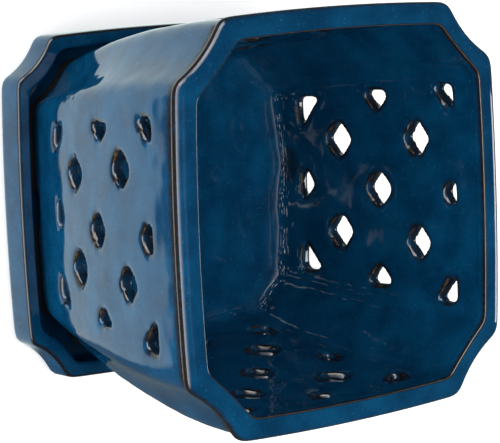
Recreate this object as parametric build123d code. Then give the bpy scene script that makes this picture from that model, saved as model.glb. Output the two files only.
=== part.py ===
from build123d import *
from math import atan2, cos, degrees, pi, sin, sqrt, tan
import os

# A square orchid pot of glazed stoneware with hollow-cut corners, built from
# slabs: a floor, four walls pierced by slots, a strip for each cut corner, a
# coil pressed into the joint inside, a lip and a foot. A layer of slip fixes
# the foot to a saucer. Millimetres. The origin is the middle of the saucer's
# underside, +Z goes up to the mouth, and all four sides are alike.

# Overall
mouth_width = 160.0            # across the lip, from mid-side to mid-side
total_height = 134.0           # from the saucer's underside to the lip's top
cut_overrun = 2.0              # how far a cutting shape passes a face

# Outline that the pot and the saucer share
side_bow_share = 0.0188        # how far a side's ends lie behind its middle
pot_flat_share = 0.70          # where the pot's flat side ends, of its half width
saucer_flat_share = 0.745      # the same on the saucer
outer_hollow_share = 0.033     # depth of the hollow in a cut corner, outside
inner_hollow_share = 0.008     # the same inside, where the corner is nearly flat

# Lip of the pot
lip_width = 8.7                # its flat top, from outer to inner edge
lip_thickness = 5.2
lip_overhang = 1.4             # past the outside of the wall
lip_round = 1.8                # on its upper outer edge
lip_edge_round = 0.8           # on its other edges
lip_corner_soft = 5.0          # seen from above, outside
lip_inner_soft = 2.0           # seen from above, inside

# Wall, floor and foot of the pot
wall_thickness = 5.8
wall_corner_soft = 6.0
foot_width = 119.0             # across the wall's lowest edge
flare_power = 1.75             # 1 is a straight flare, more is a fuller belly
wall_section_count = 6
foot_height = 6.2
floor_thickness = 6.0
floor_round = 8.0              # between the inner wall and the floor
floor_round_steps = 4
foot_ring_width = 9.0
drain_diameter = 16.0
weep_width = 14.0              # notch in each side of the foot

# Slots: five lines of places, taken in turn, so that they stand staggered
slot_lines = 5
first_line_depth = 18.8        # from the lip's top
last_line_rise = 12.2          # from the inner floor to the lowest line
row_pitch_upper = 22.5
row_pitch_lower = 18.6
slot_half = 8.0                # a diamond's half diagonal at the inner face
slot_round = 1.4
slot_spread = 0.9              # how much it grows through the wall
corner_slot_leg = 11.5         # a slot at a corner of the pattern is a triangle

# Saucer
saucer_margin = 12.0           # how far it stands out past the foot all round
saucer_height = 16.0
saucer_lip_width = 5.9
saucer_lip_round = 1.5
saucer_floor_thickness = 6.0
saucer_corner_soft = 6.0
saucer_base_round = 5.0        # between its side and its underside
saucer_well_round = 2.5        # between its well's floor and its side
standing_ring_width = 12.0
standing_ring_height = 1.2

# Slip between the foot and the saucer
seam_thickness = 0.8
seam_bead = 0.8                # squeezed out past the foot

# Heights and widths that follow
seam_bottom = saucer_floor_thickness
foot_bottom = seam_bottom + seam_thickness
floor_underside = foot_bottom + foot_height
inner_floor = floor_underside + floor_thickness
lip_underside = total_height - lip_thickness
line_pitch = (total_height - first_line_depth - inner_floor - last_line_rise) / (slot_lines - 1)
wall_heights = [foot_bottom + (lip_underside - foot_bottom) * step / (wall_section_count - 1)
                for step in range(wall_section_count)]
wall_top_width = mouth_width - 2 * lip_overhang
mouth_inner_width = mouth_width - 2 * lip_width
saucer_width = foot_width + 2 * saucer_margin


def notched_square(width, flat_share, hollow_share, soft):
    # A square with bowed sides and hollow-cut, softened corners.
    half = width / 2
    edge_end = half * (1 - side_bow_share)
    flat_end = half * flat_share
    waist = (edge_end + flat_end) / 2 - half * hollow_share / sqrt(2)
    side = ThreePointArc((edge_end, -flat_end), (half, 0), (edge_end, flat_end))
    corner = ThreePointArc((edge_end, flat_end), (waist, waist), (flat_end, edge_end))
    outline = Curve()
    for quarter in range(4):
        outline += Rot(0, 0, 90 * quarter) * side
        outline += Rot(0, 0, 90 * quarter) * corner
    face = make_face(outline)
    return fillet(face.vertices(), soft)


def wall_width_at(height):
    # Width across the outside of the wall: it flares fast at the foot.
    drop = max(lip_underside - height, 0) / (lip_underside - foot_bottom)
    return foot_width + (wall_top_width - foot_width) * (1 - drop ** flare_power)


def wall_lean_at(height):
    # Angle between the wall's outside and the vertical.
    below = wall_width_at(height - wall_thickness)
    above = wall_width_at(height)
    return degrees(atan2((above - below) / 2, wall_thickness))


def outer_outline(height):
    outline = notched_square(wall_width_at(height), pot_flat_share, outer_hollow_share, wall_corner_soft)
    return Pos(0, 0, height) * outline


def inner_outline(width, height):
    outline = notched_square(width, pot_flat_share, inner_hollow_share, wall_corner_soft)
    return Pos(0, 0, height) * outline


def inner_width_at(height):
    return wall_width_at(height) - 2 * wall_thickness


def outer_form():
    return loft([outer_outline(height) for height in wall_heights])


def inner_form():
    return loft([inner_outline(inner_width_at(height), height) for height in wall_heights])


def layer(low, high):
    # A block wider than the pot, between two heights.
    block = Box(2 * mouth_width, 2 * mouth_width, high - low, align=(Align.CENTER, Align.CENTER, Align.MIN))
    return Pos(0, 0, low) * block


def wall_shell():
    # The walls and corners together, standing on the floor slab.
    return (outer_form() - inner_form()) & layer(inner_floor, lip_underside)


def wall_zone():
    # The straight-cut space of the wall on +X, between its two corner strips.
    low_half = wall_width_at(inner_floor) / 2 * pot_flat_share
    high_half = wall_width_at(lip_underside) / 2 * pot_flat_share
    points = [(-low_half, inner_floor), (low_half, inner_floor),
              (high_half, lip_underside), (-high_half, lip_underside)]
    return extrude(Plane.YZ * make_face(Polyline(*points, close=True)), mouth_width)


def wall(side):
    # One slab: its slots are cut while it lies flat.
    slab = wall_shell() & wall_zone()
    for line in range(slot_lines):
        for row in range(line % 2, slot_lines, 2):
            slab -= slot_cutter(line, row)
    return Rot(0, 0, 90 * side) * slab


def corner(side):
    # The strip that closes the cut corner after the wall on that side.
    strip = wall_shell() - wall_zone() - Rot(0, 0, 90) * wall_zone()
    quarter = Box(mouth_width, mouth_width, total_height, align=Align.MIN)
    return Rot(0, 0, 90 * side) * (strip & quarter)


def inner_coil():
    # The coil smoothed into the joint of walls and floor: its face is an arc
    # that runs from the floor into the leaning wall.
    top = inner_floor + floor_round
    low_half = inner_width_at(inner_floor) / 2
    lean = atan2(inner_width_at(top) / 2 - low_half, floor_round)
    arc_middle = low_half + floor_round * (tan(lean) - 1 / cos(lean))
    arc_end = -lean
    rounded = []
    for step in range(floor_round_steps + 1):
        angle = -pi / 2 + (arc_end + pi / 2) * step / floor_round_steps
        half = arc_middle + floor_round * cos(angle)
        rounded.append(inner_outline(2 * half, inner_floor + floor_round * (1 + sin(angle))))
    coil_top = inner_floor + floor_round * (1 + sin(arc_end))
    return (inner_form() & layer(inner_floor, coil_top)) - loft(rounded, ruled=True)


def floor():
    slab = outer_form() & layer(floor_underside, inner_floor)
    drain = Cylinder(drain_diameter / 2, floor_thickness + 2 * cut_overrun)
    return slab - Pos(0, 0, (floor_underside + inner_floor) / 2) * drain


def lip():
    # Thick flat band around the mouth, a little proud of the wall all round.
    band = extrude(notched_square(mouth_width, pot_flat_share, outer_hollow_share, lip_corner_soft), lip_thickness)
    band = Pos(0, 0, lip_underside) * band
    top_edges = band.edges().group_by(Axis.Z)[-1]
    band = fillet(top_edges, lip_round)
    low_edges = band.edges().group_by(Axis.Z)[0]
    band = fillet(low_edges, lip_edge_round)
    opening = notched_square(mouth_inner_width, pot_flat_share, inner_hollow_share, lip_inner_soft)
    opening = extrude(opening, lip_thickness + 2 * cut_overrun)
    band -= Pos(0, 0, lip_underside - cut_overrun) * opening
    inner_top = band.faces().sort_by(Axis.Z)[-1].inner_wires()[0].edges()
    return fillet(inner_top, lip_edge_round)


def slot_outline(line, row, size):
    # A whole diamond inside the pattern, half of one at its edge, and a
    # triangle at its corner. The points are places across and up the wall.
    last = slot_lines - 1
    if line in (0, last) and row in (0, last):
        leg = corner_slot_leg + size - slot_half
        inward = leg if row == 0 else -leg
        along = -leg if line == 0 else leg
        points = [(0, 0), (inward, 0), (0, along)]
    else:
        points = []
        if line != 0:
            points.append((0, size))
        if row != last:
            points.append((size, 0))
        if line != last:
            points.append((0, -size))
        if row != 0:
            points.append((-size, 0))
    outline = make_face(Polyline(*points, close=True))
    return fillet(outline.vertices(), slot_round)


def slot_cutter(line, row):
    # Square to the wall, and wider outside than inside.
    height = total_height - first_line_depth - line * line_pitch
    share_down = line / (slot_lines - 1)
    pitch = row_pitch_upper + (row_pitch_lower - row_pitch_upper) * share_down
    across = (row - (slot_lines - 1) / 2) * pitch
    face_x = wall_width_at(height) / 2
    lean = wall_lean_at(height)
    place = Pos(face_x, across, height) * Rot(0, lean, 0)
    growth = slot_spread / wall_thickness * cut_overrun
    narrow = slot_outline(line, row, slot_half - growth)
    wide = slot_outline(line, row, slot_half + slot_spread + growth)
    inside = Plane.YZ.offset(-wall_thickness - cut_overrun)
    outside = Plane.YZ.offset(cut_overrun)
    return place * loft([inside * narrow, outside * wide], ruled=True)


def weep_notches(low, high):
    # Gaps at the middle of each side, through which the foot drains.
    notch = Box(foot_width, weep_width, high - low, align=(Align.MIN, Align.CENTER, Align.MIN))
    notch = Pos(0, 0, low) * notch
    return [Rot(0, 0, 90 * side) * notch for side in range(4)]


def foot_recess(low, high):
    # The hollow inside the foot ring.
    width = foot_width - 2 * foot_ring_width
    recess = notched_square(width, pot_flat_share, inner_hollow_share, wall_corner_soft)
    return Pos(0, 0, low) * extrude(recess, high - low)


def foot():
    ring = outer_form() & layer(foot_bottom, floor_underside)
    ring -= foot_recess(foot_bottom - cut_overrun, floor_underside + cut_overrun)
    return ring - weep_notches(foot_bottom - cut_overrun, floor_underside + cut_overrun)


def luting_seam():
    width = foot_width + 2 * seam_bead
    seam = notched_square(width, pot_flat_share, outer_hollow_share, wall_corner_soft)
    seam = Pos(0, 0, seam_bottom) * extrude(seam, seam_thickness)
    seam -= foot_recess(seam_bottom - cut_overrun, foot_bottom + cut_overrun)
    return seam - weep_notches(seam_bottom - cut_overrun, foot_bottom + cut_overrun)


def saucer():
    outline = notched_square(saucer_width, saucer_flat_share, outer_hollow_share, saucer_corner_soft)
    dish = extrude(outline, saucer_height)
    dish = fillet(dish.edges().group_by(Axis.Z)[-1], saucer_lip_round)
    dish = fillet(dish.edges().group_by(Axis.Z)[0], saucer_base_round)
    well_width = saucer_width - 2 * saucer_lip_width
    well = notched_square(well_width, saucer_flat_share, outer_hollow_share, saucer_corner_soft)
    well = Pos(0, 0, saucer_floor_thickness) * extrude(well, saucer_height)
    well = fillet(well.edges().group_by(Axis.Z)[0], saucer_well_round)
    dish -= well
    inner_top = dish.faces().sort_by(Axis.Z)[-1].inner_wires()[0].edges()
    dish = fillet(inner_top, saucer_lip_round)
    hollow_width = saucer_width - 2 * saucer_base_round - 2 * standing_ring_width
    hollow = notched_square(hollow_width, saucer_flat_share, inner_hollow_share, saucer_corner_soft)
    return dish - Pos(0, 0, -cut_overrun) * extrude(hollow, standing_ring_height + cut_overrun)


side_names = ["right", "back", "left", "front"]
parts = {"lip": lip(), "floor": floor(), "inner_coil": inner_coil(), "foot": foot()}
for side, name in enumerate(side_names):
    next_name = side_names[(side + 1) % 4]
    parts["wall_" + name] = wall(side)
    parts["corner_" + name + "_" + next_name] = corner(side)
parts["luting_seam"] = luting_seam()
parts["saucer"] = saucer()

os.makedirs("parts", exist_ok=True)
for name, part in parts.items():
    export_step(part, "parts/" + name + ".step")
    print(name, round(part.volume / 1000), "cm3")
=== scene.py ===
import math
import random

import bmesh
import bpy
import numpy as np
from mathutils import Matrix, Vector


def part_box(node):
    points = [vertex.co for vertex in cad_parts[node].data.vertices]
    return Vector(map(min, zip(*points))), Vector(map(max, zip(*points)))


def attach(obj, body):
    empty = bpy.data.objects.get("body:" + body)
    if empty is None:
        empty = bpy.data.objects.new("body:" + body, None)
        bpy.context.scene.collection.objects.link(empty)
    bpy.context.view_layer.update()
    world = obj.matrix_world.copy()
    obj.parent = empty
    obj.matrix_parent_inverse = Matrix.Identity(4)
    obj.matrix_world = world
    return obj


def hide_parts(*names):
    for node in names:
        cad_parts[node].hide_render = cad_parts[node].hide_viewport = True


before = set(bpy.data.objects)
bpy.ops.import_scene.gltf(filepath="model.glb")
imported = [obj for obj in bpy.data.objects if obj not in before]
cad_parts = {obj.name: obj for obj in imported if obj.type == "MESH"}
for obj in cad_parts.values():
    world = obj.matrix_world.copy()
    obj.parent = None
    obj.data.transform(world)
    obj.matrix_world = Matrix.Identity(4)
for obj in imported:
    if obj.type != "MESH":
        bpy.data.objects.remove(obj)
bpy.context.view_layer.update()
mm = 0.001

# Heights and the mouth's width come from the frame, so that every piece sits where the
# solids are.
lipLow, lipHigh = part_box("lip")
floorLow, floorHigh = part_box("floor")
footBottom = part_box("foot")[0].z
saucerLow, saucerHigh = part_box("saucer")
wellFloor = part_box("luting_seam")[0].z
bowShare = 0.0188  # a side's ends lie this far behind its middle
mouthWidth = lipHigh.x - lipLow.x


def hexColour(text):
    # sRGB hex to the linear colour that a shader takes
    parts = [int(text[place:place + 2], 16) / 255 for place in (1, 3, 5)]
    return [part / 12.92 if part <= 0.04045 else ((part + 0.055) / 1.055) ** 2.4 for part in parts] + [1]


def addNode(material, kind, settings=None, **links):
    # a node with its settings, and links from (node, output) to its named inputs
    node = material.node_tree.nodes.new("ShaderNode" + kind)
    for name, value in (settings or {}).items():
        if isinstance(name, int) or name in node.inputs:
            node.inputs[name].default_value = value
        else:
            setattr(node, name, value)
    for name, source in links.items():
        place = int(name[5:]) if name.startswith("input") else name.replace("_", " ")
        material.node_tree.links.new(source[0].outputs[source[1]], node.inputs[place])
    return node


def grey(value):
    return [value, value, value, 1]


def setRamp(ramp, stops):
    # stops are (place, colour) pairs, from low to high
    elements, stops = ramp.color_ramp.elements, list(stops)
    while len(elements) < len(stops):
        elements.new(0.5)
    for element, (place, colour) in zip(elements, stops):
        element.position = place
        element.color = colour


def newMaterial(name):
    material = bpy.data.materials.new(name)
    material.use_nodes = True
    material.node_tree.nodes.clear()
    return material


# Blue glaze on stoneware: a dipped and fired glass coat. It is deep and even where it
# lies thick, mottled like poured glass, and drains off every sharp edge, where the
# iron-brown clay shows through. The dark clay tone also paints shade deep in the slots,
# under the lip and on the lip's outer side, and the clay tone is partly a painted
# highlight on the lip's lower edge.
glazeLook = {
    "deep": "#02304F",
    "pale": "#064265",
    "clay": "#6E5C4D",
    "darkClayAndShade": "#17120F",
    "mottleSize": 14 * mm,
    "mottleStops": (0.35, 0.68),
    "speckSize": 0.9 * mm,
    "speckStops": (0.66, 0.76),
    "speckStrength": 0.35,
    "speck": "#2E7399",
    "breakSize": 2.5 * mm,  # the glaze's edge strays in and out over this length
    "breakStops": (0.3, 0.7),
    "breakReach": 0.06,
    "clayStops": (0.6, 0.95),
    "thinAndShadeStops": (0.22, 0.55),
    "roughness": 0.06,
    "clayRoughness": 0.14,
    "ior": 1.52,
    "rippleSize": 9 * mm,
    "rippleHeight": 0.12 * mm,
}


def makeBlueGlaze():
    look = glazeLook
    material = newMaterial("blueGlaze")
    place = addNode(material, "TexCoord")
    mottle = addNode(material, "TexNoise",
                     {"Scale": 1 / look["mottleSize"], "Detail": 3.0, "Roughness": 0.55},
                     Vector=(place, "Object"))
    body = addNode(material, "ValToRGB", None, Fac=(mottle, "Fac"))
    setRamp(body, zip(look["mottleStops"], (hexColour(look["deep"]), hexColour(look["pale"]))))
    speckNoise = addNode(material, "TexNoise", {"Scale": 1 / look["speckSize"], "Detail": 1.0},
                         Vector=(place, "Object"))
    speckMask = addNode(material, "ValToRGB", None, Fac=(speckNoise, "Fac"))
    setRamp(speckMask, zip(look["speckStops"], (grey(0), grey(look["speckStrength"]))))
    specked = addNode(material, "MixRGB", {"Color2": hexColour(look["speck"])},
                      Fac=(speckMask, "Color"), Color1=(body, "Color"))
    # this attribute holds thin glaze on edges, and also painted shade and a painted highlight
    edge = addNode(material, "Attribute", {"attribute_name": "thinGlazeAndShade"})
    clayNoise = addNode(material, "TexNoise", {"Scale": 1 / look["breakSize"], "Detail": 3.0},
                        Vector=(place, "Object"))
    broken = addNode(material, "MapRange",
                     {"From Min": look["breakStops"][0], "From Max": look["breakStops"][1],
                      "To Min": -look["breakReach"], "To Max": look["breakReach"]},
                     Value=(clayNoise, "Fac"))
    edgeSum = addNode(material, "Math", {"operation": "ADD"},
                      input0=(edge, "Fac"), input1=(broken, "Result"))
    clayAndShadeTone = addNode(material, "ValToRGB", None, Fac=(edgeSum, "Value"))
    setRamp(clayAndShadeTone, zip(look["clayStops"], (hexColour(look["darkClayAndShade"]), hexColour(look["clay"]))))
    thinAndShadeMask = addNode(material, "ValToRGB", None, Fac=(edgeSum, "Value"))
    setRamp(thinAndShadeMask, zip(look["thinAndShadeStops"], (grey(0), grey(1))))
    thinnedAndShaded = addNode(material, "MixRGB", None,
                      Fac=(thinAndShadeMask, "Color"), Color1=(specked, "Color"), Color2=(clayAndShadeTone, "Color"))
    rough = addNode(material, "MapRange",
                    {"To Min": look["roughness"], "To Max": look["clayRoughness"]},
                    Value=(thinAndShadeMask, "Color"))
    ripple = addNode(material, "TexNoise",
                     {"Scale": 1 / look["rippleSize"], "Detail": 1.5, "Roughness": 0.4},
                     Vector=(place, "Object"))
    bump = addNode(material, "Bump", {"Strength": 1.0, "Distance": look["rippleHeight"]},
                   Height=(ripple, "Fac"))
    shader = addNode(material, "BsdfPrincipled", {"IOR": look["ior"]},
                     Base_Color=(thinnedAndShaded, "Color"), Roughness=(rough, "Result"), Normal=(bump, "Normal"))
    addNode(material, "OutputMaterial", None, Surface=(shader, "BSDF"))
    return material


# Bare stoneware: the ring that the saucer stands on, wiped before firing, so it is
# dull and slightly sandy. The slip under the pot is the same clay, painted near-black:
# that is painted shade, for the deep shade that falls on it under the pot.
bareLook = {
    "light": "#8A6A4E",
    "dark": "#5E4532",
    "toneStops": (0.38, 0.62),
    "grogSize": 1.1 * mm,
    "grit": 0.08 * mm,
    "gritStrength": 0.8,
    "roughness": 0.85,
}
shadedSlipLook = {**bareLook, "light": "#1E1814", "dark": "#0D0A09", "grit": 0.05 * mm}


def makeBareClay(name, look):
    material = newMaterial(name)
    place = addNode(material, "TexCoord")
    grog = addNode(material, "TexNoise", {"Scale": 1 / look["grogSize"], "Detail": 4.0},
                   Vector=(place, "Object"))
    tone = addNode(material, "ValToRGB", None, Fac=(grog, "Fac"))
    setRamp(tone, zip(look["toneStops"], (hexColour(look["dark"]), hexColour(look["light"]))))
    bump = addNode(material, "Bump", {"Strength": look["gritStrength"], "Distance": look["grit"]},
                   Height=(grog, "Fac"))
    shader = addNode(material, "BsdfPrincipled", {"Roughness": look["roughness"]},
                     Base_Color=(tone, "Color"), Normal=(bump, "Normal"))
    addNode(material, "OutputMaterial", None, Surface=(shader, "BSDF"))
    return material


blueGlaze = makeBlueGlaze()
bareStoneware = makeBareClay("bareStoneware", bareLook)
paintedShadeSlip = makeBareClay("paintedShadeSlip", shadedSlipLook)
print("materials made")


def outlinePoints(width, look):
    # one turn around a square with bowed sides and hollow-cut corners
    half = width / 2
    edgeEnd = half * (1 - bowShare)
    flatEnd = half * look["flatShare"]
    points = []
    for quarter in range(4):
        turn = Matrix.Rotation(quarter * math.pi / 2, 2)
        for step in range(look["sideCuts"]):
            along = 2 * step / look["sideCuts"] - 1
            points.append(turn @ Vector((half - (half - edgeEnd) * along ** 2, flatEnd * along)))
        for step in range(look["cornerCuts"]):
            along = step / look["cornerCuts"]
            onChord = Vector((edgeEnd, flatEnd)).lerp(Vector((flatEnd, edgeEnd)), along)
            dip = 4 * along * (1 - along) * half * look["hollowShare"] / math.sqrt(2)
            points.append(turn @ (onChord - Vector((dip, dip))))
    for turnCount in range(look["softPasses"]):
        points = [(points[place - 1] + 2 * points[place] + points[(place + 1) % len(points)]) / 4
                  for place in range(len(points))]
    return points


def selectNothing():
    if bpy.context.object and bpy.context.object.mode != "OBJECT":
        bpy.ops.object.mode_set(mode="OBJECT")
    bpy.ops.object.select_all(action="DESELECT")


def selectOnly(piece):
    selectNothing()
    piece.select_set(True)
    bpy.context.view_layer.objects.active = piece


def ringLoft(name, rings, closed=False, thinAndShade=None):
    # A circle is shaped to the first ring, then extruded from ring to ring. A ring is
    # a list of points. The ends are bridged into a loop, or filled. With the thin values,
    # each ring says how thin its glaze is, and on the lip also how much painted shade and
    # painted highlight it takes.
    selectNothing()
    bpy.ops.mesh.primitive_circle_add(vertices=len(rings[0]), radius=1)
    piece = bpy.context.object
    piece.name = name
    bpy.ops.object.mode_set(mode="EDIT")
    bpy.ops.mesh.select_mode(type="VERT")
    mesh = bmesh.from_edit_mesh(piece.data)
    mesh.verts.ensure_lookup_table()
    ringVerts = list(mesh.verts)
    for vert, point in zip(ringVerts, rings[0]):
        vert.co = point
    firstCount = len(ringVerts)
    bpy.ops.mesh.select_all(action="SELECT")
    if not closed:
        bpy.ops.mesh.edge_face_add()
        bpy.ops.mesh.select_all(action="DESELECT")
        mesh = bmesh.from_edit_mesh(piece.data)
        for edge in mesh.edges:
            edge.select_set(True)
    for ring in rings[1:]:
        bpy.ops.mesh.extrude_edges_move()
        mesh = bmesh.from_edit_mesh(piece.data)
        mesh.verts.ensure_lookup_table()
        ringVerts = [vert for vert in mesh.verts if vert.select]
        for vert, point in zip(ringVerts, ring):
            vert.co = point
    if closed:
        firstRing, lastRing = set(list(mesh.verts)[:firstCount]), set(ringVerts)
        for edge in mesh.edges:
            ends = set(edge.verts)
            edge.select_set(ends <= firstRing or ends <= lastRing)
        bpy.ops.mesh.bridge_edge_loops()
    else:
        bpy.ops.mesh.edge_face_add()
    bpy.ops.mesh.select_all(action="SELECT")
    bpy.ops.mesh.normals_make_consistent(inside=False)
    bpy.ops.object.mode_set(mode="OBJECT")
    if thinAndShade:
        storeThinGlazeAndShade(piece, np.repeat(thinAndShade, firstCount))
    return piece


def storeThinGlazeAndShade(piece, values):
    layer = piece.data.attributes.new("thinGlazeAndShade", "FLOAT", "POINT")
    layer.data.foreach_set("value", np.asarray(values, dtype=np.float32))


def applyModifier(piece, kind, **settings):
    selectOnly(piece)
    modifier = piece.modifiers.new(kind.lower(), kind)
    for name, value in settings.items():
        setattr(modifier, name, value)
    bpy.ops.object.modifier_apply(modifier=modifier.name)


def ringAt(points, height):
    return [Vector((point.x, point.y, height)) for point in points]


def blendRings(first, second, share):
    return [a.lerp(b, share) for a, b in zip(first, second)]


def arcSteps(count):
    # (sine, cosine) of even steps through a quarter turn
    angles = [math.pi / 2 * step / count for step in range(count + 1)]
    return [(math.sin(angle), math.cos(angle)) for angle in angles]


# The pot's walls, floor and foot as one shell, with its slots.
potOutline = {"flatShare": 0.70, "sideCuts": 40, "cornerCuts": 14}
shellOutside = {**potOutline, "hollowShare": 0.033, "softPasses": 3}
shellInside = {**potOutline, "hollowShare": 0.008, "softPasses": 4}
lipOverhang = 1.4 * mm
shellShape = {
    "topWidth": mouthWidth - 2 * lipOverhang,
    "footWidth": 119 * mm,
    "intoLip": 1.5 * mm,  # the walls end inside the lip
    "wall": 5.8 * mm,
    "flarePower": 1.75,
    "floorRound": 6 * mm,
    "floorRoundSteps": 5,
    "floorRoundLean": 0.22,
    "ringCount": 16,
    "footRingWidth": 9 * mm,
    "drainRadius": 8 * mm,
    "drainSides": 48,
    "drainCut": 30 * mm,
    "weepWidth": 14 * mm,
    "weepReach": 1.2,
    "weepDrop": 0.5 * mm,
    "weepRoofs": (1 * mm, 1.4 * mm),
    "cutOver": 2 * mm,
    "voxel": 1.4 * mm,
    "rounding": 4,
    "roundingStrength": 0.5,
    "waveSize": 28 * mm,
    "waveHeight": 0.8 * mm,
    "coilRise": 14 * mm,
    "coilStart": 0.05,
    "dentSize": 13 * mm,
    "dentDepth": 0.9 * mm,
    "slotThin": 0.72,
    "thinBulge": 0.16 * mm,  # glaze has drained off an edge that stands out this far
    # painted shade: slots are darkened deep inside, and a band under the lip is darkened, partly thin glaze
    # and partly painted shade
    "slotPaintedShade": 0.42,
    "slotSkin": 0.7 * mm,  # the darkening of a slot starts this deep in the wall
    "slotFade": 0.8 * mm,
    "slotsReach": 0.66,
    "slotsAboveFloor": 2 * mm,
    "slotsUnderLip": 4 * mm,
    "underLipPaintedShade": 0.5,
    "underLipDrop": 5.5 * mm,
    "underLipFade": 2.6 * mm,
    "outwardGain": 4,
    "wander": 1.5 * mm,  # the waves add up to 2.3 times this at the floor's edge
    "wanderRise": 26 * mm,
    "wanderFade": 1.5,
    "wanderWaves": ((3, 1.2, 1.0), (7, 0.4, 0.8), (13, 0, 0.5)),  # count, start, height
}
slotShape = {
    "lines": 5,
    "firstDepth": 18.8 * mm,
    "linePitch": 21 * mm,
    "rowPitchUpper": 22.5 * mm,
    "rowPitchLower": 18.6 * mm,
    "half": 8.3 * mm,
    "acrossScale": 1.0,
    "upScale": 0.82,
    "cornerLeg": 13.2 * mm,
    "soft": 2.1 * mm,
    "softSteps": 4,
    "cutterDepth": 24 * mm,
    "flare": 0.92,
    "seed": 7,
    "shift": 0.35 * mm,
    "growth": 0.05,
    "tilt": 3.0,
    "leftShift": {  # how far each slot of the left wall was cut off its place: across, up
        (0, 0): (1.8 * mm, -1.1 * mm), (0, 2): (1.8 * mm, -3 * mm), (0, 4): (-0.4 * mm, -2.6 * mm),
        (1, 1): (-1.5 * mm, -3 * mm), (1, 3): (-0.9 * mm, -0.3 * mm),
        (2, 0): (2.2 * mm, 1.4 * mm), (2, 2): (2.1 * mm, -1.4 * mm), (2, 4): (-1.8 * mm, -0.7 * mm),
        (3, 1): (1.3 * mm, 0), (3, 3): (-0.6 * mm, 1.4 * mm),
        (4, 0): (0.9 * mm, 0.7 * mm), (4, 2): (-0.9 * mm, 2.1 * mm), (4, 4): (-2.5 * mm, 0),
    },
}
lipUnderside = lipLow.z
innerFloor = floorHigh.z
topOfPot = lipHigh.z


def wallHalfAt(height):
    drop = max(lipUnderside - height, 0) / (lipUnderside - footBottom)
    footWidth = shellShape["footWidth"]
    spread = shellShape["topWidth"] - footWidth
    return (footWidth + spread * (1 - drop ** shellShape["flarePower"])) / 2


def handPressed(ring):
    # the inside strays from its outline more and more towards the floor, as a wall
    # does where its coil was pressed in with a thumb
    rise = (ring[0].z - innerFloor) / shellShape["wanderRise"]
    weight = max(1 - rise, 0) ** shellShape["wanderFade"]
    moved = []
    for point in ring:
        turn = math.atan2(point.y, point.x)
        stray = sum(size * math.sin(count * turn + start)
                    for count, start, size in shellShape["wanderWaves"])
        push = weight * stray * shellShape["wander"]
        moved.append(point + Vector((math.cos(turn), math.sin(turn), 0)) * push)
    return moved


def makeShell():
    wall = shellShape["wall"]
    count = shellShape["ringCount"]
    rings = []
    top = lipUnderside + shellShape["intoLip"]
    for step in range(count + 1):
        height = footBottom + (top - footBottom) * step / count
        rings.append(ringAt(outlinePoints(2 * wallHalfAt(height), shellOutside), height))

    def inner(half, height):
        return handPressed(ringAt(outlinePoints(2 * half, shellInside), height))

    floorRound = shellShape["floorRound"]
    for step in range(count + 1):
        height = top - (top - innerFloor - floorRound) * step / count
        rings.append(inner(wallHalfAt(height) - wall, height))
    halfAtRound = wallHalfAt(innerFloor + floorRound) - wall
    for sine, cosine in arcSteps(shellShape["floorRoundSteps"])[1:]:
        half = halfAtRound - floorRound * (1 - cosine) - shellShape["floorRoundLean"] * floorRound * sine
        rings.append(inner(half, innerFloor + floorRound * (1 - sine)))
    return ringLoft("potShell", rings)


def makeSlotCutter(form):
    # A four-sided prism, cut in half for the pattern's edge or twice for its corner,
    # with softened edges. Its local Z points out of the wall, and a flare under 1 makes
    # the slot narrower there.
    selectNothing()
    radius = slotShape["cornerLeg"] if form == "corner" else slotShape["half"]
    depth = slotShape["cutterDepth"]
    bpy.ops.mesh.primitive_cylinder_add(vertices=4, radius=radius, depth=depth)
    cutter = bpy.context.object
    bpy.ops.object.mode_set(mode="EDIT")
    if form in ("half", "corner"):
        bpy.ops.mesh.select_all(action="SELECT")
        bpy.ops.mesh.bisect(plane_co=(0, 0, 0), plane_no=(0, 1, 0), use_fill=True, clear_outer=True)
    if form == "corner":
        bpy.ops.mesh.select_all(action="SELECT")
        bpy.ops.mesh.bisect(plane_co=(0, 0, 0), plane_no=(1, 0, 0), use_fill=True, clear_inner=True)
    bpy.ops.mesh.select_mode(type="EDGE")
    bpy.ops.mesh.select_all(action="DESELECT")
    mesh = bmesh.from_edit_mesh(cutter.data)
    for edge in mesh.edges:
        edge.select_set(abs(edge.verts[0].co.z - edge.verts[1].co.z) > depth / 2)
    bpy.ops.mesh.bevel(offset=slotShape["soft"], segments=slotShape["softSteps"], affect="EDGES")
    bpy.ops.mesh.select_mode(type="VERT")
    slope = (slotShape["flare"] - 1) * depth / 2 / shellShape["wall"]
    for side, scale in ((1, 1 + slope), (-1, 1 - slope / 2)):
        bpy.ops.mesh.select_all(action="DESELECT")
        mesh = bmesh.from_edit_mesh(cutter.data)
        for vert in mesh.verts:
            vert.select_set(vert.co.z * side > 0)
        bpy.ops.transform.resize(value=(scale, scale, 1), center_override=(0, 0, 0))
    bpy.ops.object.mode_set(mode="OBJECT")
    return cutter


def slotForm(line, row):
    # which cutter a place takes, and how far it is turned on the wall, in quarters
    last = slotShape["lines"] - 1
    if line in (0, last) and row in (0, last):
        return "corner", {(0, 0): 0, (last, 0): 1, (last, last): 2, (0, last): 3}[(line, row)]
    if line == 0:
        return "half", 0
    if row == 0:
        return "half", 1
    if line == last:
        return "half", 2
    if row == last:
        return "half", 3
    return "whole", 0


outOfWall = Matrix(((0, 0, 1, 0), (1, 0, 0, 0), (0, 1, 0, 0), (0, 0, 0, 1)))  # Z to the wall's outside


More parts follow.
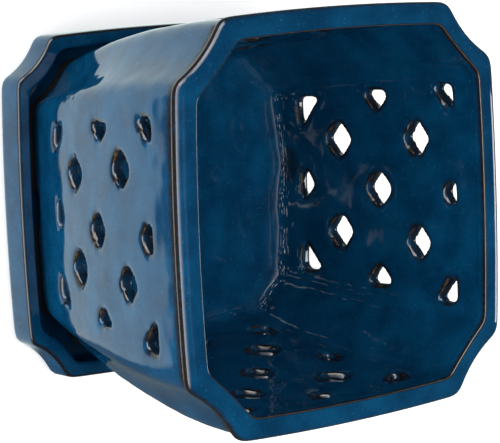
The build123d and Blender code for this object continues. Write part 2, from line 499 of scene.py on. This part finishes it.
def makeSlotCutters():
    forms = {form: makeSlotCutter(form) for form in ("whole", "half", "corner")}
    chance = random.Random(slotShape["seed"])
    copies = []
    middle = (slotShape["lines"] - 1) / 2
    for side, sideName in enumerate(("right", "back", "left", "front")):
        for line in range(slotShape["lines"]):
            share = line / (slotShape["lines"] - 1)
            pitch = slotShape["rowPitchUpper"] * (1 - share) + slotShape["rowPitchLower"] * share
            height = topOfPot - slotShape["firstDepth"] - line * slotShape["linePitch"]
            wall = shellShape["wall"]
            lean = math.atan2(wallHalfAt(height) - wallHalfAt(height - wall), wall)
            for row in range(line % 2, slotShape["lines"], 2):
                form, turns = slotForm(line, row)
                copy = forms[form].copy()
                copy.data = forms[form].data.copy()
                bpy.context.collection.objects.link(copy)
                across = (row - middle) * pitch + chance.uniform(-1, 1) * slotShape["shift"]
                up = height + chance.uniform(-1, 1) * slotShape["shift"]
                if sideName == "left":
                    across += slotShape["leftShift"][line, row][0]
                    up += slotShape["leftShift"][line, row][1]
                size = 1 + chance.uniform(-1, 1) * slotShape["growth"]
                tilt = math.radians(chance.uniform(-1, 1) * slotShape["tilt"])
                onWall = Matrix.Rotation(side * math.pi / 2, 4, "Z")
                onWall = onWall @ Matrix.Translation((wallHalfAt(height), across, up))
                onWall = onWall @ Matrix.Rotation(lean, 4, "Y")
                onWall = onWall @ outOfWall
                onWall = onWall @ Matrix.Rotation(tilt, 4, "Z")
                onWall = onWall @ Matrix.Diagonal((slotShape["acrossScale"], slotShape["upScale"], 1, 1))
                onWall = onWall @ Matrix.Rotation(turns * math.pi / 2, 4, "Z")
                copy.data.transform(onWall @ Matrix.Diagonal((size, size, 1, 1)))
                copies.append(copy)
    selectNothing()
    for form in forms.values():
        bpy.data.objects.remove(form)
    for copy in copies:
        copy.select_set(True)
    bpy.context.view_layer.objects.active = copies[0]
    bpy.ops.object.join()
    return bpy.context.object


def cutAway(piece, cutter):
    applyModifier(piece, "BOOLEAN", operation="DIFFERENCE", solver="MANIFOLD", object=cutter)
    bpy.data.objects.remove(cutter)


def makeFootCutters():
    # the hollow under the floor, its four weep gaps and the drain hole
    footWidth = shellShape["footWidth"]
    low, high = footBottom - shellShape["cutOver"], floorLow.z
    hollow = outlinePoints(footWidth - 2 * shellShape["footRingWidth"], shellInside)
    pieces = [ringLoft("footHollow", [ringAt(hollow, low), ringAt(hollow, high)])]
    middle = (0, 0, (low + high) / 2 - shellShape["weepDrop"])
    long, wide = footWidth * shellShape["weepReach"], shellShape["weepWidth"]
    for (length, breadth), roof in zip(((long, wide), (wide, long)), shellShape["weepRoofs"]):
        selectNothing()
        bpy.ops.mesh.primitive_cube_add(size=1, location=middle)
        notch = bpy.context.object
        notch.scale = (length, breadth, high - low - roof)
        bpy.ops.object.transform_apply(location=True, rotation=False, scale=True)
        pieces.append(notch)
    selectNothing()
    bpy.ops.mesh.primitive_cylinder_add(vertices=shellShape["drainSides"], radius=shellShape["drainRadius"],
                                        depth=shellShape["drainCut"], location=(0, 0, innerFloor))
    bpy.ops.object.transform_apply(location=True, rotation=False, scale=False)
    pieces.append(bpy.context.object)
    return pieces


def waver(piece, name, size, height, **settings):
    # slow waves in the surface, as hand-pressed clay has
    clouds = bpy.data.textures.new(name, "CLOUDS")
    clouds.noise_scale = size
    applyModifier(piece, "DISPLACE", texture=clouds, texture_coords="LOCAL", strength=height,
                  mid_level=0.5, **settings)


def vertexTable(piece, key):
    table = np.empty(len(piece.data.vertices) * 3)
    piece.data.vertices.foreach_get(key, table)
    return table.reshape(-1, 3)


def convexity(piece, scale):
    # how sharply the surface turns outwards at each vertex, 0 to 1: where glaze thins
    mesh = piece.data
    count = len(mesh.vertices)
    places, normals = vertexTable(piece, "co"), vertexTable(piece, "normal")
    edges = np.empty(len(mesh.edges) * 2, dtype=np.int64)
    mesh.edges.foreach_get("vertices", edges)
    edges = edges.reshape(-1, 2)
    valence = np.bincount(edges.ravel(), minlength=count)[:, None]

    def average(values):
        total = np.zeros_like(values)
        np.add.at(total, edges[:, 0], values[edges[:, 1]])
        np.add.at(total, edges[:, 1], values[edges[:, 0]])
        return total / valence

    bulge = ((places - average(places)) * normals).sum(axis=1, keepdims=True)
    bulge = (bulge + average(bulge)) / 2
    return np.clip(bulge[:, 0] / scale, 0, 1)


def finishPiece(piece, *materials):
    selectOnly(piece)
    bpy.ops.object.shade_smooth()
    piece.data.materials.clear()
    for material in materials:
        piece.data.materials.append(material)


def slotAndLipShade(piece):
    # painted shade deep inside the slots, and the line that runs round under the lip, which is partly thin
    # glaze and partly painted shade
    shape = shellShape
    places, facing = vertexTable(piece, "co"), vertexTable(piece, "normal")
    outwardShare = (places[:, :2] * facing[:, :2]).sum(axis=1) / (shape["topWidth"] / 2)
    x, y, z = np.abs(places).T
    halves = np.array([wallHalfAt(height) for height in z])
    outwards, along = np.maximum(x, y), np.minimum(x, y)
    bow = halves * bowShare * (along / (halves * shellOutside["flatShare"])) ** 2
    depth = halves - bow - outwards
    fromOutside = np.clip((depth - shape["slotSkin"]) / shape["slotFade"], 0, 1)
    fromInside = np.clip((shape["wall"] - shape["slotSkin"] - depth) / shape["slotFade"], 0, 1)
    onSide = along < halves * shape["slotsReach"]
    onSide &= (z > innerFloor + shape["slotsAboveFloor"]) & (z < lipUnderside - shape["slotsUnderLip"])
    slotShade = fromOutside * fromInside * onSide * shape["slotPaintedShade"]
    underLipShade = np.clip((z - lipUnderside + shape["underLipDrop"]) / shape["underLipFade"], 0, 1)
    underLipShade *= np.clip(shape["outwardGain"] * outwardShare, 0, 1) * shape["underLipPaintedShade"]
    return np.maximum(slotShade, underLipShade)


shell = makeShell()
cutAway(shell, makeSlotCutters())
for cutter in makeFootCutters():
    cutAway(shell, cutter)
applyModifier(shell, "REMESH", mode="VOXEL", voxel_size=shellShape["voxel"], use_smooth_shade=True)
applyModifier(shell, "SMOOTH", factor=shellShape["roundingStrength"], iterations=shellShape["rounding"])
thinEdges = shellShape["slotThin"] * convexity(shell, shellShape["thinBulge"])
# the edges' thin glaze, together with the painted shade in the slots and under the lip
storeThinGlazeAndShade(shell, np.maximum(thinEdges, slotAndLipShade(shell)))
waver(shell, "slabWaves", shellShape["waveSize"], shellShape["waveHeight"])
coil = shell.vertex_groups.new(name="coil")
for vert in shell.data.vertices:
    rise = (vert.co.z - innerFloor) / shellShape["coilRise"]
    outwards = max(abs(vert.co.x), abs(vert.co.y))
    inside = wallHalfAt(vert.co.z) - outwards > shellShape["wall"] / 2
    if shellShape["coilStart"] < rise < 1 and inside:
        coil.add([vert.index], 1 - rise, "REPLACE")
waver(shell, "coilDents", shellShape["dentSize"], shellShape["dentDepth"], vertex_group="coil")
finishPiece(shell, blueGlaze)
print("shell made", len(shell.data.polygons), "faces")


# The lip: a thick flat band with a rounded outer edge and a crisp inner one.
lipOutside = {**potOutline, "hollowShare": 0.033, "softPasses": 2}
lipInside = {**potOutline, "hollowShare": 0.008, "softPasses": 1}
lipShape = {
    "width": 8.7 * mm,
    "upperRound": 2.9 * mm,  # the outer edge's round, this tall
    "upperReach": 4.6 * mm,  # and this wide
    "lowerRound": 1.3 * mm,
    "innerRound": 0.8 * mm,
    "rootInset": 3.2 * mm,
    "flatShares": (0.3, 0.6, 0.85, 0.95),
    "rootThin": [0.2],
    # the tan line on the lower edge is partly bare clay and partly a painted highlight
    "lowerEdgeThinAndHighlight": [0.5, 0.6, 0.9, 0.95, 0.6],
    # the dark band on the lip's outer side is partly thin glaze and partly painted shade
    "upperRoundThinAndShade": [0.55, 0.5, 0.38, 0.2, 0, 0, 0],
    "flatThin": [0, 0, 0, 0],
    "innerEdgeThin": [0.1, 0.45, 0.8, 0.6, 0.5],
    "innerFaceThin": [0.1, 0, 0, 0, 0],
}


def makeLip():
    low, high = lipLow.z, lipHigh.z
    upper, reach, lower = lipShape["upperRound"], lipShape["upperReach"], lipShape["lowerRound"]
    edge, root = lipShape["innerRound"], lipShape["rootInset"]
    innerWidth = mouthWidth - 2 * lipShape["width"]

    def outer(inset, height):
        return ringAt(outlinePoints(mouthWidth - 2 * inset, lipOutside), height)

    def inner(inset, height):
        return ringAt(outlinePoints(innerWidth + 2 * inset, lipInside), height)

    rings = [outer(root, low)]
    rings += [outer(lower * (1 - sine), low + lower * (1 - cosine)) for sine, cosine in arcSteps(4)]
    rings += [outer(reach * (1 - cosine), high - upper * (1 - sine)) for sine, cosine in arcSteps(6)]
    rings += [blendRings(outer(reach, high), inner(edge, high), share) for share in lipShape["flatShares"]]
    rings += [inner(edge * (1 - sine), high - edge * (1 - cosine)) for sine, cosine in arcSteps(4)]
    rings += [inner(edge * (1 - cosine), low + edge * (1 - sine)) for sine, cosine in arcSteps(3)]
    rings += [inner(root, low)]
    thinAndShade = lipShape["rootThin"] + lipShape["lowerEdgeThinAndHighlight"] + lipShape["upperRoundThinAndShade"]
    thinAndShade += lipShape["flatThin"] + lipShape["innerEdgeThin"] + lipShape["innerFaceThin"]
    return ringLoft("potLip", rings, closed=True, thinAndShade=thinAndShade)


lip = makeLip()
applyModifier(lip, "SUBSURF", levels=1, render_levels=1)
finishPiece(lip, blueGlaze)
print("lip made", len(lip.data.polygons), "faces")


# The saucer: a shallow dish with the pot's cut corners and a flat lip.
saucerOutside = {"flatShare": 0.745, "hollowShare": 0.033, "sideCuts": 40, "cornerCuts": 14, "softPasses": 2}
saucerInside = {**saucerOutside, "softPasses": 3}
saucerShape = {
    "width": 143 * mm,
    "lipWidth": 5.9 * mm,
    "lipRound": 1.5 * mm,
    "baseRound": 5 * mm,
    "wellRound": 2.5 * mm,
    "wellFlat": 8 * mm,
    "standingRing": 12 * mm,
    "standingHeight": 1.2 * mm,
    "standingEdge": 0.2 * mm,
    "standingBevel": 0.5 * mm,
    "recessSlope": 1 * mm,
    "recessFlat": 6 * mm,
    "bareLine": 0.4 * mm,  # bare clay up to here, wiped clean of glaze
    "standingThin": [0.3, 0.3, 0.3, 0.3, 0.3],
    "baseThin": [0.8, 0.5, 0, 0, 0, 0, 0, 0, 0, 0, 0],
    "outerEdgeThin": [0.1, 0.4, 0.5, 0.55, 0.6, 0.5, 0.45, 0.3, 0],
    "flatThin": [0],
    "innerEdgeThin": [0, 0, 0, 0.1, 0.2, 0.2, 0.1, 0, 0],
    "wellThin": [0, 0, 0, 0, 0, 0, 0, 0, 0, 0],
}


def makeSaucer():
    shape = saucerShape
    width = shape["width"]
    low, high = saucerLow.z, saucerHigh.z
    base, lipRound, well = shape["baseRound"], shape["lipRound"], shape["wellRound"]
    wellWidth = width - 2 * shape["lipWidth"]
    ringInset = base + shape["standingRing"]

    def outer(inset, height):
        return ringAt(outlinePoints(width - 2 * inset, saucerOutside), height)

    def inner(inset, height):
        return ringAt(outlinePoints(wellWidth - 2 * inset, saucerInside), height)

    recess, bevel = low + shape["standingHeight"], shape["standingBevel"]
    rings = [outer(ringInset + shape["recessFlat"], recess), outer(ringInset + shape["recessSlope"], recess)]
    rings += [outer(ringInset, low + shape["standingEdge"]), outer(ringInset - bevel, low)]
    rings += [outer(base + bevel, low)]
    rings += [outer(base * (1 - sine), low + base * (1 - cosine)) for sine, cosine in arcSteps(10)]
    rings += [outer(lipRound * (1 - cosine), high - lipRound * (1 - sine)) for sine, cosine in arcSteps(8)]
    rings += [blendRings(outer(lipRound, high), inner(-lipRound, high), 0.5)]
    rings += [inner(-lipRound * (1 - sine), high - lipRound * (1 - cosine)) for sine, cosine in arcSteps(8)]
    rings += [inner(well * (1 - cosine), wellFloor + well * (1 - sine)) for sine, cosine in arcSteps(8)]
    rings += [inner(well + shape["wellFlat"], wellFloor)]
    thinAndShade = shape["standingThin"] + shape["baseThin"] + shape["outerEdgeThin"] + shape["flatThin"]
    thinAndShade += shape["innerEdgeThin"] + shape["wellThin"]
    return ringLoft("saucerDish", rings, thinAndShade=thinAndShade)


saucer = makeSaucer()
finishPiece(saucer, blueGlaze, bareStoneware)
for face in saucer.data.polygons:
    face.material_index = 1 if face.center.z < saucerLow.z + saucerShape["bareLine"] else 0
print("saucer made", len(saucer.data.polygons), "faces")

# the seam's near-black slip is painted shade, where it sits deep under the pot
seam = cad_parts["luting_seam"]
seam.data.materials.clear()
seam.data.materials.append(paintedShadeSlip)

# Every piece rides on the one body, and the nodes that it stands for are hidden.
wallNodes = [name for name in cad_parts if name.startswith(("wall_", "corner_"))]
for piece in (shell, lip, saucer):
    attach(piece, "root")
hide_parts("floor", "inner_coil", "foot", *wallNodes)
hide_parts("lip")
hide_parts("saucer")

# The photograph's camera: the pot lies on its side there, so here the camera is
# turned to look down into the upright mouth.
cameraView = {
    "unit": 79.6 * mm,  # half of the mouth's width, to the turn of its rounded edge
    "sideways": 0.6675,
    "over": 0.1298,
    "roll": 0.0395,
    "shift": (0.4697, 0.0195, -10.7922),
    "lens": 162.9,
    "frameShift": (-0.003, -0.0016),
    "farEnd": 20,
}


def makeCamera():
    turn = Matrix.Rotation(-cameraView["sideways"], 3, "Y")
    turn = turn @ Matrix.Rotation(-cameraView["over"], 3, "X")
    turn = turn @ Matrix.Rotation(-cameraView["roll"], 3, "Z")
    place = turn @ -Vector(cameraView["shift"])
    selectNothing()
    bpy.ops.object.camera_add()
    camera = bpy.context.object
    mouth = Vector((0, 0, topOfPot))
    camera.matrix_world = Matrix.Translation(mouth + place * cameraView["unit"]) @ turn.to_4x4()
    camera.data.lens = cameraView["lens"]
    camera.data.shift_x, camera.data.shift_y = cameraView["frameShift"]
    camera.data.clip_end = cameraView["farEnd"]
    bpy.context.scene.camera = camera


makeCamera()

# Studio: a white card on the floor, a dim room and soft lamps.
studio = {
    "floorSize": 6.0,
    "floorTone": "#E8E8E8",
    "floorGlow": 0.5,
    "cardMiddle": (0.175, 0.04),  # the glaze mirrors this part of the floor as white
    "cardHalf": (0.33, 0.13),
    "cardSlant": 0.6,  # its near left corner is cut off at this slope
    "cardCut": 0.024,
    "cardFade": 0.006,
    "cardOn": 1.12,
    "cardOff": 0.15,
    "cardTone": "#F0FFFC",
    "roomLight": 0.28,  # what the matt part of a surface gets from all round
    "roomMirror": 0.05,  # what the glaze mirrors of the room
    "glow": 7.0,  # and of a long soft light low on its left, brightest near the floor
    "glowSide": (-0.94, 0.34, 0),
    "glowLow": (0.04, 0.09),
    "glowHigh": (0.2, 0.95),
    "glowEnds": (0.2, 0.7),
}
upperPot = (0, 0, 0.1)
lamps = {  # a matt lamp lights the piece and isn't mirrored in the glaze
    "overhead": {"place": (-0.02, -0.1, 1.35), "aim": upperPot, "size": (0.8, 0.8), "power": 2,
                 "matt": True},
    "overheadSoft": {"place": (-0.02, -0.1, 1.35), "aim": upperPot, "size": (0.4, 0.4), "power": 9},
    "left": {"place": (-1.15, -0.1, 0.5), "aim": upperPot, "size": (0.5, 0.7), "power": 8.5,
             "matt": True},
    "lowLeft": {"place": (-1.15, 0.0, 0.12), "aim": (0, 0, 0.08), "size": (0.9, 0.3), "power": 7,
                "matt": True},
    "back": {"place": (-0.4, 1.1, 0.8), "aim": upperPot, "size": (0.6, 0.6), "power": 4.5},
    "right": {"place": (1.3, -0.2, 0.45), "aim": upperPot, "size": (0.3, 0.4), "power": 2.5},
}


def makeFloor():
    selectNothing()
    bpy.ops.mesh.primitive_plane_add(size=studio["floorSize"])
    ground = bpy.context.object
    ground.name = "studioFloor"
    material = newMaterial("whiteFloor")
    path = addNode(material, "LightPath")
    place = addNode(material, "TexCoord")
    parts = addNode(material, "SeparateXYZ", None, Vector=(place, "Object"))
    slant = addNode(material, "Math",
                    {"operation": "MULTIPLY_ADD", 1: studio["cardSlant"], 2: -studio["cardCut"]},
                    input0=(parts, "X"))
    outside = addNode(material, "Math", {"operation": "SUBTRACT"},
                      input0=(slant, "Value"), input1=(parts, "Y"))
    for axis, middle, half in zip("XY", studio["cardMiddle"], studio["cardHalf"]):
        off = addNode(material, "Math", {"operation": "SUBTRACT", 1: middle}, input0=(parts, axis))
        off = addNode(material, "Math", {"operation": "ABSOLUTE"}, input0=(off, "Value"))
        off = addNode(material, "Math", {"operation": "SUBTRACT", 1: half}, input0=(off, "Value"))
        outside = addNode(material, "Math", {"operation": "MAXIMUM"},
                          input0=(outside, "Value"), input1=(off, "Value"))
    card = addNode(material, "MapRange", {"interpolation_type": "SMOOTHSTEP",
                                          "From Min": -studio["cardFade"], "From Max": studio["cardFade"],
                                          "To Min": studio["cardOn"], "To Max": studio["cardOff"]},
                   Value=(outside, "Value"))
    mirrored = addNode(material, "Math", {"operation": "MULTIPLY"},
                       input0=(path, "Is Glossy Ray"), input1=(card, "Result"))
    seen = addNode(material, "Math", {"operation": "MAXIMUM"},
                   input0=(path, "Is Camera Ray"), input1=(path, "Is Transmission Ray"))
    plain = addNode(material, "BsdfDiffuse", {"Color": hexColour(studio["floorTone"])})
    glow = addNode(material, "Emission", {"Color": (1, 1, 1, 1), "Strength": studio["floorGlow"]})
    both = addNode(material, "AddShader", None, input0=(plain, "BSDF"), input1=(glow, "Emission"))
    white = addNode(material, "Emission", {"Color": hexColour(studio["cardTone"])},
                    Strength=(mirrored, "Value"))
    other = addNode(material, "MixShader", None, Fac=(path, "Is Glossy Ray"), input1=(plain, "BSDF"),
                    input2=(white, "Emission"))
    mixed = addNode(material, "MixShader", None, Fac=(seen, "Value"), input1=(other, "Shader"),
                    input2=(both, "Shader"))
    addNode(material, "OutputMaterial", None, Surface=(mixed, "Shader"))
    ground.data.materials.append(material)


def makeRoom():
    world = bpy.data.worlds.new("whiteRoom")
    bpy.context.scene.world = world
    world.use_nodes = True
    world.node_tree.nodes.clear()
    path = addNode(world, "LightPath")
    seen = addNode(world, "Math", {"operation": "MAXIMUM"},
                   input0=(path, "Is Camera Ray"), input1=(path, "Is Transmission Ray"))
    place = addNode(world, "TexCoord")
    towards = addNode(world, "SeparateXYZ", None, Vector=(place, "Generated"))
    side = addNode(world, "VectorMath", {"operation": "DOT_PRODUCT", 1: studio["glowSide"]},
                   input0=(place, "Generated"))
    glow = None
    for source, (start, end), (low, high) in (((towards, "Z"), studio["glowLow"], (0, studio["glow"])),
                                              ((towards, "Z"), studio["glowHigh"], (1, 0)),
                                              ((side, "Value"), studio["glowEnds"], (0, 1))):
        part = addNode(world, "MapRange", {"interpolation_type": "SMOOTHSTEP", "From Min": start,
                                           "From Max": end, "To Min": low, "To Max": high}, Value=source)
        if glow:
            product = addNode(world, "Math", {"operation": "MULTIPLY"}, input0=glow, input1=(part, "Result"))
            glow = (product, "Value")
        else:
            glow = (part, "Result")
    mirrored = addNode(world, "Math", {"operation": "ADD", 1: studio["roomMirror"]}, input0=glow)
    unseen = addNode(world, "MapRange", {"To Min": studio["roomLight"]},
                     Value=(path, "Is Glossy Ray"), To_Max=(mirrored, "Value"))
    strength = addNode(world, "Math", {"operation": "MAXIMUM"},
                       input0=(seen, "Value"), input1=(unseen, "Result"))
    light = addNode(world, "Background", {"Color": (1, 1, 1, 1)}, Strength=(strength, "Value"))
    addNode(world, "OutputWorld", None, Surface=(light, "Background"))


def makeLamp(name, look):
    selectNothing()
    bpy.ops.object.light_add(type="AREA", location=look["place"])
    lamp = bpy.context.object
    lamp.name = name + "Lamp"
    lamp.data.shape = "RECTANGLE"
    lamp.data.size, lamp.data.size_y = look["size"]
    lamp.data.energy = look["power"]
    lamp.visible_camera = False
    lamp.visible_glossy = not look.get("matt")
    towards = Vector(look["aim"]) - Vector(look["place"])
    lamp.rotation_euler = towards.to_track_quat("-Z", "Y").to_euler()


makeFloor()
makeRoom()
for name, look in lamps.items():
    makeLamp(name, look)
bpy.context.scene.view_settings.view_transform = "Standard"
print("studio made")
